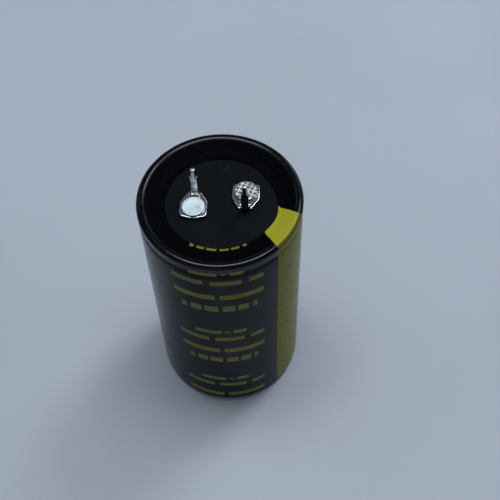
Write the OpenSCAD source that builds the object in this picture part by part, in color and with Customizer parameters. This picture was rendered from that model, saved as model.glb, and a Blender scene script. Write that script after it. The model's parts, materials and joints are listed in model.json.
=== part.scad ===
// Snap-in electrolytic capacitor, standing on its closed end with the terminals up.
// Origin at the centre of the base, +Z up, the two pins on the X axis. Millimetres.

/* [Can] */
// Outer diameter of the drawn can
can_d = 30; // [27:0.5:40]
// Height of the can from its closed end to the top of the curl
can_h = 55.6; // [40:0.1:80]
// Sheet thickness of the can
can_wall = 0.4; // [0.3:0.05:0.45]
// Outer corner radius at the closed end
can_corner_r = 1.3; // [0.8:0.1:2.5]
// How far the rim stands out beyond the straight wall
rim_step = 0.2; // [0:0.05:0.4]
// Half width of the curl at the mouth
curl_r = 0.6; // [0.55:0.05:0.9]
// Height of the curl's crown above its widest point
curl_h = 0.5; // [0.45:0.05:0.7]
// Slope of the lip that comes down on the seal, in degrees
lip_slope = 30; // [27:0.5:36]
// Depth of the rolled bead under the seal
bead_depth = 1; // [0.7:0.05:1.1]
// Width of the rolled bead along the wall
bead_w = 3.2; // [3:0.1:3.6]

/* [Vent] */
// Length of each scored line on the closed end
vent_l = 14; // [8:0.5:18]
// Depth of the scored lines
vent_depth = 0.2; // [0.1:0.05:0.25]
// Number of scored lines that cross
vent_lines = 2; // [2:1:4]

/* [Sleeve] */
// Thickness of the shrunk film
sleeve_t = 0.2; // [0.12:0.02:0.3]
// Slack between the film and what it is shrunk on
film_gap = 0.02; // [0.01:0.01:0.05]
// Width of the flat band of film on the seal, inside the slope of the rim
top_lap = 1; // [0.4:0.1:2]
// Width of the flat band of film under the closed end
base_lap = 2.7; // [1.5:0.1:4]
// How far the film sinks where it bridges the bead
bridge_sink = 0.2; // [0.1:0.05:0.5]
// Radius at which the film turns from the lip onto the seal
film_fold_r = 1.2; // [0.5:0.1:2.5]

/* [Seal] */
// Depth of the seal's face below the top of the curl
seal_drop = 1.3; // [1.1:0.05:1.5]
// Thickness of the rubber facing
rubber_t = 1.3; // [1.2:0.1:2]
// Thickness of the phenolic board
phenolic_t = 2; // [1.5:0.1:3]
// Height of the rubber's underside above the middle of the bead
bead_drop = 0.3; // [0.2:0.05:0.5]
// Gap between the phenolic board and the inside of the bead
phenolic_gap = 0.2; // [0.1:0.05:0.5]
// Gap between the rubber's edge and the can that grips it
grip_gap = 0.03; // [0.01:0.01:0.05]

/* [Terminals] */
// Distance between the two pins
pin_pitch = 10; // [9:0.1:11]
// Height of the pin tips above the rim
pin_rise = 5.8; // [5.3:0.1:7.3]
// Width of the lower part of a pin
pin_w = 1.4; // [1.2:0.05:1.6]
// Width of the upper part of a pin
tip_w = 0.8; // [0.7:0.05:1.1]
// Length of the upper part of a pin
tip_l = 2; // [1.2:0.1:3]
// Chamfer round the end of a pin
tip_chamfer = 0.1; // [0.06:0.02:0.2]
// Sideways bow that makes a pin snap into its hole
snap_bow = 0.3; // [0.1:0.05:0.45]
// Sheet thickness of a terminal
terminal_t = 0.7; // [0.6:0.05:0.8]
// Inner radius of the bend between base plate and pin
bend_r = 0.3; // [0.2:0.05:0.4]
// Distance from a rivet's axis to the middle of its pin
pin_reach = 3.62; // [3.5:0.02:4]
// Turn of a terminal about its pin, in degrees
terminal_turn = 20; // [10:0.5:40]
// Width of a base plate
plate_w = 5; // [4.8:0.1:5.4]
// Radius of a base plate's blunt end
plate_end_r = 3.1; // [3.05:0.05:3.4]
// Distance from the rivet's axis to the centre of the blunt end's curve, towards the pin
end_shift = 0.85; // [0.6:0.05:0.9]
// Length of a base plate's straight sides beyond the rivet, towards the pin
plate_side = 1.4; // [0.8:0.1:1.6]
// Distance between the outer corners of the two ears beside a pin
ear_span = 2.4; // [2.3:0.1:3]
// Width of the relief slit on each side of the bend
slit_w = 0.15; // [0.1:0.05:0.2]
// Length of the relief slits
slit_l = 0.6; // [0.5:0.05:0.9]

/* [Rivets] */
// Diameter of a rivet's head
head_d = 4; // [3.8:0.05:4.2]
// Height of a rivet's head
head_h = 0.55; // [0.4:0.05:0.9]
// Rounding of the head's edge
head_edge_r = 0.2; // [0.1:0.02:0.3]
// Diameter of a rivet's shank
shank_d = 2.4; // [2:0.1:2.8]
// Clearance round the shank
shank_gap = 0.05; // [0.03:0.01:0.1]
// Diameter of the clinched end
clinch_d = 3.6; // [3.2:0.1:4.2]
// Height of the clinched end
clinch_h = 0.6; // [0.4:0.05:0.9]
// Diameter of the inner washer
washer_d = 5; // [4.6:0.1:5.4]
// Thickness of the inner washer
washer_t = 0.5; // [0.3:0.05:0.7]

/* [Winding] */
// Gap between the closing tape and the can
winding_gap = 0.5; // [0.2:0.05:0.9]
// Room between the top of the roll and the phenolic board
head_room = 4.8; // [4:0.1:7]
// Diameter of the hollow core left by the mandrel
core_d = 3.2; // [2:0.1:5]
// Chamfer at the roll's ends
roll_edge = 0.4; // [0.2:0.1:0.8]
// Distance between the grooves that mark the turns on the roll's ends
turn_pitch = 1.5; // [1:0.1:2.5]
// Width of a groove between the turns
turn_groove_w = 0.2; // [0.1:0.05:0.3]
// Depth of a groove between the turns
turn_groove_h = 0.3; // [0.1:0.05:0.5]
// Thickness of the closing tape
tape_t = 0.1; // [0.05:0.01:0.15]
// Width of the closing tape
tape_w = 20; // [12:1:30]
// Slack between the tape and the roll
tape_gap = 0.02; // [0.01:0.01:0.05]

/* [Lead tabs] */
// Thickness of a lead tab
tab_t = 0.3; // [0.2:0.05:0.35]
// Width of a lead tab
tab_w = 3.2; // [2.8:0.1:4]
// Inner radius of a tab's bend
tab_bend_r = 0.6; // [0.4:0.05:0.8]
// Gap between the washer and the start of a tab's bend
tab_room = 0.2; // [0.1:0.05:0.5]
// Length of a tab beyond the rivet, away from its bend
tab_end = 2; // [1.6:0.1:2.4]
// Depth to which a tab runs down between the turns
tab_depth = 5; // [3:0.5:12]
// Gap between a tab and the turns beside it
tab_gap = 0.05; // [0.03:0.01:0.1]

/* [Hidden] */
$fn = 96;

// Margin by which a cutting shape passes the face that it cuts
cut = 1;

// Numbers of straight steps along the curves
corner_steps = 8;
curl_steps = 10;
fold_steps = 4;
edge_steps = 6;
bow_steps = 16;
bead_steps = 24;
grip_steps = 10;

// Heights, from the base upwards
can_z = sleeve_t + film_gap;
floor_z = can_z + can_wall;
curl_z = can_z + can_h;
rim_z = curl_z + film_gap + sleeve_t;
seal_z = curl_z - seal_drop;
rubber_z = seal_z - rubber_t;
phenolic_z = rubber_z - phenolic_t;
washer_z = phenolic_z - tab_t - washer_t;
winding_z = phenolic_z - head_room;
bead_z = rubber_z - bead_drop;
bead_low = bead_z - bead_w / 2;
bead_high = bead_z + bead_w / 2;
plate_z = seal_z + terminal_t;

// Radii
can_r = can_d / 2;
rim_r = can_r + rim_step;
shank_r = shank_d / 2;
hole_r = shank_r + shank_gap;
winding_r = can_r - can_wall - winding_gap - tape_t - tape_gap;

// The positive rivet, on the side of -X
rivet_at = [-pin_pitch / 2 + pin_reach * sin(terminal_turn), -pin_reach * cos(terminal_turn)];
rivet_radius = norm(rivet_at);
rivet_angle = atan2(rivet_at[1], rivet_at[0]);

// Points on an arc about c from angle a to angle b
function arc(c, r, a, b, n = corner_steps) =
    [for (i = [0:n]) c + r * [cos(a + (b - a) * i / n), sin(a + (b - a) * i / n)]];

// Smooth rise from 0 to 1 while t goes from 0 to 1
function ease(t) = t <= 0 ? 0 : t >= 1 ? 1 : (1 - cos(180 * t)) / 2;

// Values from a to b in n equal steps
function steps(a, b, n) = [for (i = [0:n]) a + (b - a) * i / n];

function reversed(p) = [for (i = [len(p) - 1:-1:0]) p[i]];

// Direction to the left of the path p at its point i
function left_of(p, i) =
    let (a = p[max(i - 1, 0)], b = p[min(i + 1, len(p) - 1)], d = (b - a) / norm(b - a)) [-d[1], d[0]];

// The path p moved sideways by d, to its left where d is positive
function beside(p, d) = [for (i = [0:len(p) - 1]) p[i] + d * left_of(p, i)];

// Outer radius of the can at height z: the wall, the bead and the wider rim
function wall_r(z) = can_r + rim_step * ease((z - bead_low) / bead_w)
    - bead_depth * (1 - ease(abs(z - bead_z) / (bead_w / 2)));

// Path round the closed end's corner, at a distance g outside the can
function corner_path(g) =
    arc([can_r - can_corner_r, can_z + can_corner_r], can_corner_r + g, -90, 0);

// Path over the flattened curl to the lip, at a distance g outside the can
curl_at = [rim_r - curl_r, curl_z - curl_h];
function curl_turn(g) = 90 + atan(tan(lip_slope) * (curl_r + g) / (curl_h + g));
function curl_path(g) = [for (a = steps(0, curl_turn(g), curl_steps))
    curl_at + [(curl_r + g) * cos(a), (curl_h + g) * sin(a)]];
function curl_end(g) = curl_path(g)[curl_steps];

// Path over the bead and up to the curl, at a distance g outside the can
bead_path = [for (z = steps(bead_low, bead_high, bead_steps)) [wall_r(z), z]];
function bead_side(g) = beside(concat(bead_path, [[rim_r, curl_at[1]]]), -g);

// End of the lip. It is as long as it takes to bring its lower edge to the seal
lip_l = (curl_end(-can_wall)[1] - seal_z) / sin(lip_slope);
function lip_end(g) = curl_end(g) - lip_l * [cos(lip_slope), sin(lip_slope)];

// One side of the can's sheet, at a distance g outside the can
function can_side(g) = concat(
    [[0, can_z - g]],
    corner_path(g),
    [for (i = [0:bead_steps]) bead_side(g)[i]],
    curl_path(g),
    [lip_end(g)]);

// Inner radius of the can at height z, in the stretch that grips the rubber
function grip_r(z) = lookup(z, [for (p = bead_side(-can_wall)) [p[1], p[0]]]);

// Inside of the film where it bridges the bead, lowest in the upper half
function film_r(z) = let (t = (z - bead_low) / bead_w)
    film_gap + max(wall_r(z), can_r + rim_step * ease(t) - bridge_sink * (1 - cos(360 * t * t)) / 2);
film_z = seal_z + film_gap;
film_fold = film_fold_r * tan(lip_slope / 2);
film_corner = curl_end(film_gap)[0] - (curl_end(film_gap)[1] - film_z) / tan(lip_slope);
bridge_path = [for (z = steps(bead_low, bead_high, bead_steps)) [film_r(z), z]];
fold_at = [film_corner - film_fold, film_z + film_fold_r];

// One side of the film, at a distance g outside the can
function film_side(g) = concat(
    [[can_r - can_corner_r - base_lap, can_z - g]],
    corner_path(g),
    beside(bridge_path, film_gap - g),
    curl_path(g),
    arc(fold_at, film_fold_r + film_gap - g, 270 + lip_slope, 270, fold_steps),
    [[fold_at[0] - top_lap, seal_z + g]]);

// Drawn can with its bead, curl and scored vent
module can() {
    color([0.78, 0.79, 0.80])
    difference() {
        rotate_extrude() polygon(concat(can_side(0), reversed(can_side(-can_wall))));
        translate([0, 0, can_z]) vent_scores();
    }
}

// Crossing V-shaped lines that weaken the closed end
module vent_scores() {
    side = vent_depth * sqrt(2);
    for (i = [0:vent_lines - 1])
        rotate([0, 0, 180 * i / vent_lines])
        rotate([45, 0, 0])
        cube([vent_l, side, side], center = true);
}

// Shrunk film, turned in over both ends
module sleeve() {
    color([0.07, 0.08, 0.10])
    rotate_extrude() polygon(concat(film_side(film_gap), reversed(film_side(film_gap + sleeve_t))));
}

// Rubber disc with its edge squeezed between the bead and the lip
module rubber_facing() {
    edge = [for (z = steps(rubber_z, seal_z, grip_steps)) [grip_r(z) - grip_gap, z]];
    color([0.10, 0.11, 0.12])
    difference() {
        rotate_extrude() polygon(concat([[0, rubber_z]], edge, [[0, seal_z]]));
        rivet_holes();
    }
}

// Stiff board that carries the rivets, inside the bead
module phenolic_disc() {
    color([0.45, 0.28, 0.15])
    difference() {
        translate([0, 0, phenolic_z])
        cylinder(r = grip_r(bead_z) - phenolic_gap, h = phenolic_t);
        rivet_holes();
    }
}

module rivet_holes() {
    both_sides() translate([0, 0, phenolic_z - cut]) cylinder(r = hole_r, h = seal_z - phenolic_z + 2 * cut);
}

// Puts a thing drawn about the origin on the positive rivet, turned by angle
module on_rivet(angle) {
    translate([rivet_at[0], rivet_at[1], 0]) rotate([0, 0, angle]) children();
}

// The negative side is the positive one turned half round
module opposite() {
    rotate([0, 0, 180]) children();
}

module both_sides() {
    on_rivet(0) children();
    opposite() on_rivet(0) children();
}

// Heights and places on a terminal, measured from the seal and the rivet's axis
pin_top = rim_z + pin_rise - seal_z;
bend_at = [pin_reach - terminal_t / 2 - bend_r, terminal_t + bend_r];
shoulder_h = pin_top - tip_l - (pin_w - tip_w) / 2;
ear_y = bend_at[0] + slit_l;
tongue_y = bend_at[0] - 2 * slit_w;

// Base plate with a blunt end and two ears, seen from above
module plate_outline() {
    difference() {
        union() {
            intersection() {
                translate([0, end_shift]) circle(r = plate_end_r);
                translate([-plate_w / 2, -plate_end_r]) square([plate_w, plate_end_r + plate_side]);
            }
            polygon([[-plate_w / 2, 0], [plate_w / 2, 0], [plate_w / 2, plate_side],
                [ear_span / 2, ear_y], [-ear_span / 2, ear_y], [-plate_w / 2, plate_side]]);
        }
        translate([-pin_w / 2 - slit_w, bend_at[0] - slit_w])
        square([pin_w + 2 * slit_w, slit_l + slit_w + cut]);
    }
}

// Bent tongue seen from the side: flat, bend and bowed pin with a chamfered end
function bow(z) = let (s = (z - bend_at[1]) / (shoulder_h - bend_at[1]))
    s >= 1 ? 0 : snap_bow * (1 - cos(360 * s)) / 2;
function pin_face(y) = [for (z = steps(bend_at[1], shoulder_h, bow_steps)) [pin_reach + y + bow(z), z]];
tongue_side = concat(
    [[tongue_y, 0]],
    arc(bend_at, bend_r + terminal_t, 270, 355),
    pin_face(terminal_t / 2),
    [[pin_reach + terminal_t / 2, pin_top - tip_chamfer],
        [pin_reach + terminal_t / 2 - tip_chamfer, pin_top],
        [pin_reach - terminal_t / 2 + tip_chamfer, pin_top],
        [pin_reach - terminal_t / 2, pin_top - tip_chamfer]],
    reversed(pin_face(-terminal_t / 2)),
    arc(bend_at, bend_r, 355, 270),
    [[tongue_y, terminal_t]]);

// The same tongue seen from the front
half_front = [[pin_w / 2, 0], [pin_w / 2, shoulder_h], [tip_w / 2, pin_top - tip_l],
    [tip_w / 2, pin_top - tip_chamfer], [tip_w / 2 - tip_chamfer, pin_top]];
tongue_front = concat(half_front, [for (p = reversed(half_front)) [-p[0], p[1]]]);

module tongue() {
    intersection() {
        rotate([90, 0, 90]) linear_extrude(height = pin_w + 2 * cut, center = true) polygon(tongue_side);
        translate([0, pin_reach + 2 * cut, 0])
        rotate([90, 0, 0]) linear_extrude(height = pin_reach + 2 * cut) polygon(tongue_front);
    }
}

// Stamped and bent terminal, tin plated
module terminal() {
    on_rivet(terminal_turn) translate([0, 0, seal_z])
    difference() {
        union() {
            linear_extrude(height = terminal_t) plate_outline();
            tongue();
        }
        translate([0, 0, -cut]) cylinder(r = hole_r, h = terminal_t + 2 * cut);
    }
}

module terminal_positive() {
    color([0.80, 0.82, 0.84]) terminal();
}

module terminal_negative() {
    color([0.80, 0.82, 0.84]) opposite() terminal();
}

// Rivet with a rounded head on the base plate and a clinched end under the washer
module rivet() {
    foot_z = washer_z - clinch_h;
    top_z = plate_z + head_h;
    edge = head_edge_r;
    on_rivet(0) rotate_extrude() polygon(concat(
        [[0, foot_z]],
        arc([clinch_d / 2 - edge, foot_z + edge], edge, -90, 0, edge_steps),
        [[clinch_d / 2, washer_z], [shank_r, washer_z], [shank_r, plate_z], [head_d / 2, plate_z]],
        arc([head_d / 2 - edge, top_z - edge], edge, 0, 90, edge_steps),
        [[0, top_z]]));
}

module rivet_positive() {
    color([0.76, 0.79, 0.83]) rivet();
}

module rivet_negative() {
    color([0.74, 0.75, 0.78]) opposite() rivet();
}

module washer() {
    on_rivet(0) translate([0, 0, washer_z])
    difference() {
        cylinder(d = washer_d, h = washer_t);
        translate([0, 0, -cut]) cylinder(r = hole_r, h = washer_t + 2 * cut);
    }
}

module washer_positive() {
    color([0.72, 0.73, 0.75]) washer();
}

module washer_negative() {
    color([0.72, 0.73, 0.75]) opposite() washer();
}

// Lead tab: flat between board and washer, then bent down into the roll
tab_bend_at = [washer_d / 2 + tab_room, phenolic_z - tab_t - tab_bend_r];
tab_foot_z = winding_z - tab_depth;
tab_path = concat(
    [[-tab_end, phenolic_z]],
    arc(tab_bend_at, tab_bend_r + tab_t, 90, 0),
    [[tab_bend_at[0] + tab_bend_r + tab_t, tab_foot_z]]);

module tab() {
    on_rivet(rivet_angle)
    difference() {
        rotate([90, 0, 0]) linear_extrude(height = tab_w, center = true)
        polygon(concat(tab_path, reversed(beside(tab_path, -tab_t))));
        translate([0, 0, phenolic_z - tab_t - cut]) cylinder(r = hole_r, h = tab_t + 2 * cut);
    }
}

module tab_positive() {
    color([0.70, 0.71, 0.73]) tab();
}

module tab_negative() {
    color([0.70, 0.71, 0.73]) opposite() tab();
}

// Roll of foil and paper with a hollow core and a slit for each tab
module winding() {
    color([0.85, 0.80, 0.68])
    difference() {
        rotate_extrude() polygon([
            [core_d / 2, floor_z], [winding_r - roll_edge, floor_z], [winding_r, floor_z + roll_edge],
            [winding_r, winding_z - roll_edge], [winding_r - roll_edge, winding_z], [core_d / 2, winding_z]]);
        translate([0, 0, floor_z]) turn_grooves();
        translate([0, 0, winding_z]) turn_grooves();
        tab_slit();
        opposite() tab_slit();
    }
}

// Rings cut to half their height into an end of the roll
module turn_grooves() {
    for (r = [core_d / 2 + turn_pitch:turn_pitch:winding_r - roll_edge - turn_pitch / 2])
        difference() {
            cylinder(r = r + turn_groove_w / 2, h = 2 * turn_groove_h, center = true);
            cylinder(r = r - turn_groove_w / 2, h = 2 * turn_groove_h + cut, center = true);
        }
}

module tab_slit() {
    on_rivet(rivet_angle)
    translate([tab_bend_at[0] + tab_bend_r - tab_gap, -tab_w / 2 - tab_gap, tab_foot_z - tab_gap])
    cube([tab_t + 2 * tab_gap, tab_w + 2 * tab_gap, tab_depth + tab_gap + cut]);
}

// Tape that closes the roll
module winding_tape() {
    color([0.90, 0.86, 0.55])
    translate([0, 0, (floor_z + winding_z - tape_w) / 2])
    difference() {
        cylinder(r = winding_r + tape_gap + tape_t, h = tape_w);
        translate([0, 0, -cut]) cylinder(r = winding_r + tape_gap, h = tape_w + 2 * cut);
    }
}

sleeve();
can();
rubber_facing();
phenolic_disc();
terminal_positive();
terminal_negative();
rivet_positive();
rivet_negative();
washer_positive();
washer_negative();
tab_positive();
tab_negative();
winding();
winding_tape();
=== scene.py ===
import json
import logging
import math
from dataclasses import dataclass
from enum import Enum
from functools import reduce

import bmesh
import bpy
import numpy as np
from mathutils import Matrix, Vector

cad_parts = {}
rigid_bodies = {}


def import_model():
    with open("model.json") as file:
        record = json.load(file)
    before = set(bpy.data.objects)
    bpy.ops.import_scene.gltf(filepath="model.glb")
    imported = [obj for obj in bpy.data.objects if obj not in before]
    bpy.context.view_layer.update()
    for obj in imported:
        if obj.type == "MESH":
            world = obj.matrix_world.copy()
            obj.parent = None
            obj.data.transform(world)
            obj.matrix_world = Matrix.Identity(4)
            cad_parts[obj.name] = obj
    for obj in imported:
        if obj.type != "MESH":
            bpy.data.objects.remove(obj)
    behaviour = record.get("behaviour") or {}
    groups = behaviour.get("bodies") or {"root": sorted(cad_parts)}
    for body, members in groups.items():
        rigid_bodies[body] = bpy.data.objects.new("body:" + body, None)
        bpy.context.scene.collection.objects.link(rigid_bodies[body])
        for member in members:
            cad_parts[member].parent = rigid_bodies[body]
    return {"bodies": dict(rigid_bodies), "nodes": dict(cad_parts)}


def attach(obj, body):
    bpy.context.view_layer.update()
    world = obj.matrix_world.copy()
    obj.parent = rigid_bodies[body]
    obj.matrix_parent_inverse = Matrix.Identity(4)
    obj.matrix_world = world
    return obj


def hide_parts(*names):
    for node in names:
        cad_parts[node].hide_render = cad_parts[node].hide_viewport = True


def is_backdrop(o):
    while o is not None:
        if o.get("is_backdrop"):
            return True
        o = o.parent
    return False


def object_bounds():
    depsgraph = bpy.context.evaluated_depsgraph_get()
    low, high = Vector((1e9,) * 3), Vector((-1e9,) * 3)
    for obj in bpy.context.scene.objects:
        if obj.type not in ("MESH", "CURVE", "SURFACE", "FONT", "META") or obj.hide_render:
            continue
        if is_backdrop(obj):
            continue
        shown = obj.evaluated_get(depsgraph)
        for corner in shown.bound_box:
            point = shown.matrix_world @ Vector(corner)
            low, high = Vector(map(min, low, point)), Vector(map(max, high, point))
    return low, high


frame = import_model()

MM = 0.001
BODY = next(iter(frame["bodies"]))
log = logging.getLogger("capacitor")

Object = bpy.types.Object
Material = bpy.types.Material
Socket = bpy.types.NodeSocket
Value = Socket | float | tuple[float, ...]
Inputs = dict[str | int, Value | None]
Point = tuple[float, float]
Triple = tuple[float, float, float]
Profile = list[Point]
Amount = float | np.ndarray

# Sizes that several pieces share, in millimetres
CAN_R = 15.0
SEAL_Z = 54.52
CURL_Z = 55.82
SHEET = 0.7
SHANK_R = 1.2

# Degrees and millimetres that the film's map runs through from 0 to 1
MAP_TURN = 360.0
MAP_HEIGHT = 100.0

# Range that holds most values of a noise
NOISE_RANGE = (0.3, 0.7)


# Nodes and surfaces


class Graph:
    """Wires the nodes of one tree, so that a finish reads as the sum it is."""

    def __init__(self, tree: bpy.types.NodeTree) -> None:
        """Takes over an existing tree."""
        self.tree = tree

    def feed(self, node: bpy.types.Node, inputs: Inputs) -> None:
        """Links or sets some inputs of a node.

        Args:
            node: The node.
            inputs: What each input gets: another node's output, or a constant. None leaves it as it is.
        """
        for key, value in inputs.items():
            if isinstance(value, bpy.types.NodeSocket):
                self.tree.links.new(value, node.inputs[key])
            elif value is not None:
                node.inputs[key].default_value = value

    def add(self, kind: str, inputs: Inputs | None = None, **settings: object) -> bpy.types.Node:
        """Adds a node.

        Args:
            kind: Blender's name for the node's type.
            inputs: What its inputs get.
            **settings: Properties to set on the node.

        Returns:
            The new node.
        """
        node = self.tree.nodes.new(kind)
        for name, value in settings.items():
            setattr(node, name, value)
        self.feed(node, inputs or {})
        return node

    def math(self, operation: str, *values: Value, clamp: bool = False) -> Socket:
        """Returns the result of a Math node."""
        inputs = dict(enumerate(values))
        return self.add("ShaderNodeMath", inputs, operation=operation, use_clamp=clamp).outputs[0]

    def product(self, *factors: Value) -> Value:
        """Returns the product of several numbers."""
        return reduce(lambda a, b: self.math("MULTIPLY", a, b), factors)

    def total(self, *terms: Value) -> Value:
        """Returns the sum of several numbers."""
        return reduce(lambda a, b: self.math("ADD", a, b), terms)

    def vector(self, operation: str, a: Value, b: Value | None = None) -> Socket:
        """Returns the result of a Vector Math node, which is a number for LENGTH."""
        node = self.add("ShaderNodeVectorMath", {0: a, "Scale" if operation == "SCALE" else 1: b},
                        operation=operation)
        return node.outputs["Value" if operation == "LENGTH" else "Vector"]

    def split(self, vector: Socket) -> list[Socket]:
        """Returns a vector's three components."""
        return list(self.add("ShaderNodeSeparateXYZ", {0: vector}).outputs)

    def join(self, *parts: Value) -> Socket:
        """Returns a vector made of three components."""
        return self.add("ShaderNodeCombineXYZ", dict(enumerate(parts))).outputs[0]

    def ramp(self, value: Value, low: float, high: float, to_low: float = 0, to_high: float = 1) -> Socket:
        """Maps a range of values smoothly onto another."""
        inputs = {"Value": value, "From Min": low, "From Max": high, "To Min": to_low, "To Max": to_high}
        return self.add("ShaderNodeMapRange", inputs, interpolation_type="SMOOTHSTEP").outputs["Result"]

    def spread(self, noise: Socket, to_low: float, to_high: float) -> Socket:
        """Maps a noise's usual range onto another."""
        return self.ramp(noise, *NOISE_RANGE, to_low, to_high)

    def dim(self, mask: Socket, share: float) -> Socket:
        """Returns a factor that is 1 outside a mask and a share inside it."""
        return self.ramp(mask, 0.0, 1.0, 1.0, share)

    def band(self, value: Value, low: float, high: float, edge: float) -> Value:
        """Returns a mask of a range of values, with edges that reach this far to each side."""
        rise, fall = self.ramp(value, low - edge, low + edge), self.ramp(value, high + edge, high - edge)
        return self.product(rise, fall)

    def mix(self, factor: Value, a: Value, b: Value) -> Socket:
        """Mixes two colours, by the share of the second one."""
        shades = [(*colour, 1.0) if isinstance(colour, tuple) else colour for colour in (a, b)]
        return self.add("ShaderNodeMix", {0: factor, 6: shades[0], 7: shades[1]}, data_type="RGBA").outputs[2]

    def mottle(self, noise: Socket, colour: Triple, dark: float, light: float = 1.0,
               span: Point = NOISE_RANGE) -> Socket:
        """Mixes a dark and a light shade of one colour, in clouds that follow a noise over a span."""
        shades = [tuple(strength * c for c in colour) for strength in (dark, light)]
        return self.mix(self.ramp(noise, *span), *shades)

    def noise(self, where: Socket, scale: float | Triple, detail: float = 2.0, rough: float = 0.5) -> Socket:
        """Adds three-dimensional noise.

        Args:
            where: Coordinates to read it at.
            scale: Its fineness, or its fineness along each axis.
            detail: Number of finer layers.
            rough: Strength of the finer layers.

        Returns:
            The noise value's socket.
        """
        if isinstance(scale, tuple):
            where, scale = self.vector("MULTIPLY", where, scale), 1.0
        inputs = {"Vector": where, "Scale": scale, "Detail": detail, "Roughness": rough}
        return self.add("ShaderNodeTexNoise", inputs).outputs[0]

    def specks(self, where: Socket, scale: float, size: float, share: float = 0.28) -> Value:
        """Adds scattered round specks.

        Args:
            where: Coordinates to read them at.
            scale: Cells per unit of length.
            size: Radius of a speck, as a share of a cell.
            share: Share of the cells that have a speck.

        Returns:
            A mask that is 1 in a speck.
        """
        cells = self.add("ShaderNodeTexVoronoi", {"Vector": where, "Scale": scale}, feature="F1").outputs
        near = self.ramp(cells["Distance"], size, size * 0.5)
        pick = self.add("ShaderNodeSeparateColor", {0: cells["Color"]}).outputs[0]
        return self.product(near, self.math("GREATER_THAN", pick, 1 - share))

    def bump(self, height: Value, depth: float, strength: float, below: Socket | None = None) -> Socket:
        """Returns the bent normal of a relief of this depth in millimetres, over the relief below it."""
        inputs = {"Height": height, "Distance": depth * MM, "Strength": strength, "Normal": below}
        return self.add("ShaderNodeBump", inputs).outputs[0]


class Surface(Graph):
    """A material under way: its graph, its shader, and the Object coordinates in millimetres as mm."""

    def __init__(self, name: str, roughness: float = 0.5, specular: float = 0.5, metallic: float = 0) -> None:
        """Makes the material, its shader and its output.

        Args:
            name: The material's name.
            roughness: The shader's roughness.
            specular: Its specular level.
            metallic: Its share of metal.
        """
        self.material = bpy.data.materials.new(name)
        self.material.use_nodes = True
        super().__init__(self.material.node_tree)
        self.tree.nodes.clear()
        constants = {"Metallic": metallic, "Roughness": roughness, "Specular IOR Level": specular}
        self.shader = self.add("ShaderNodeBsdfPrincipled", constants)
        self.add("ShaderNodeOutputMaterial", {"Surface": self.shader.outputs[0]})
        self.mm = self.vector("SCALE", self.add("ShaderNodeTexCoord").outputs["Object"], 1.0 / MM)

    def set(self, colour: Socket, roughness: Value | None = None, normal: Socket | None = None) -> Material:
        """Feeds the shader's colour, its roughness and its bent normal, and returns the material."""
        self.feed(self.shader, {"Base Color": colour, "Roughness": roughness, "Normal": normal})
        return self.material


# Finishes


@dataclass(frozen=True)
class InkRow:
    """Plain rounded marks in a row: heights in one repeat of the print, and the marks' angles."""

    low: float
    high: float
    spans: tuple[Point, ...]


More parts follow.
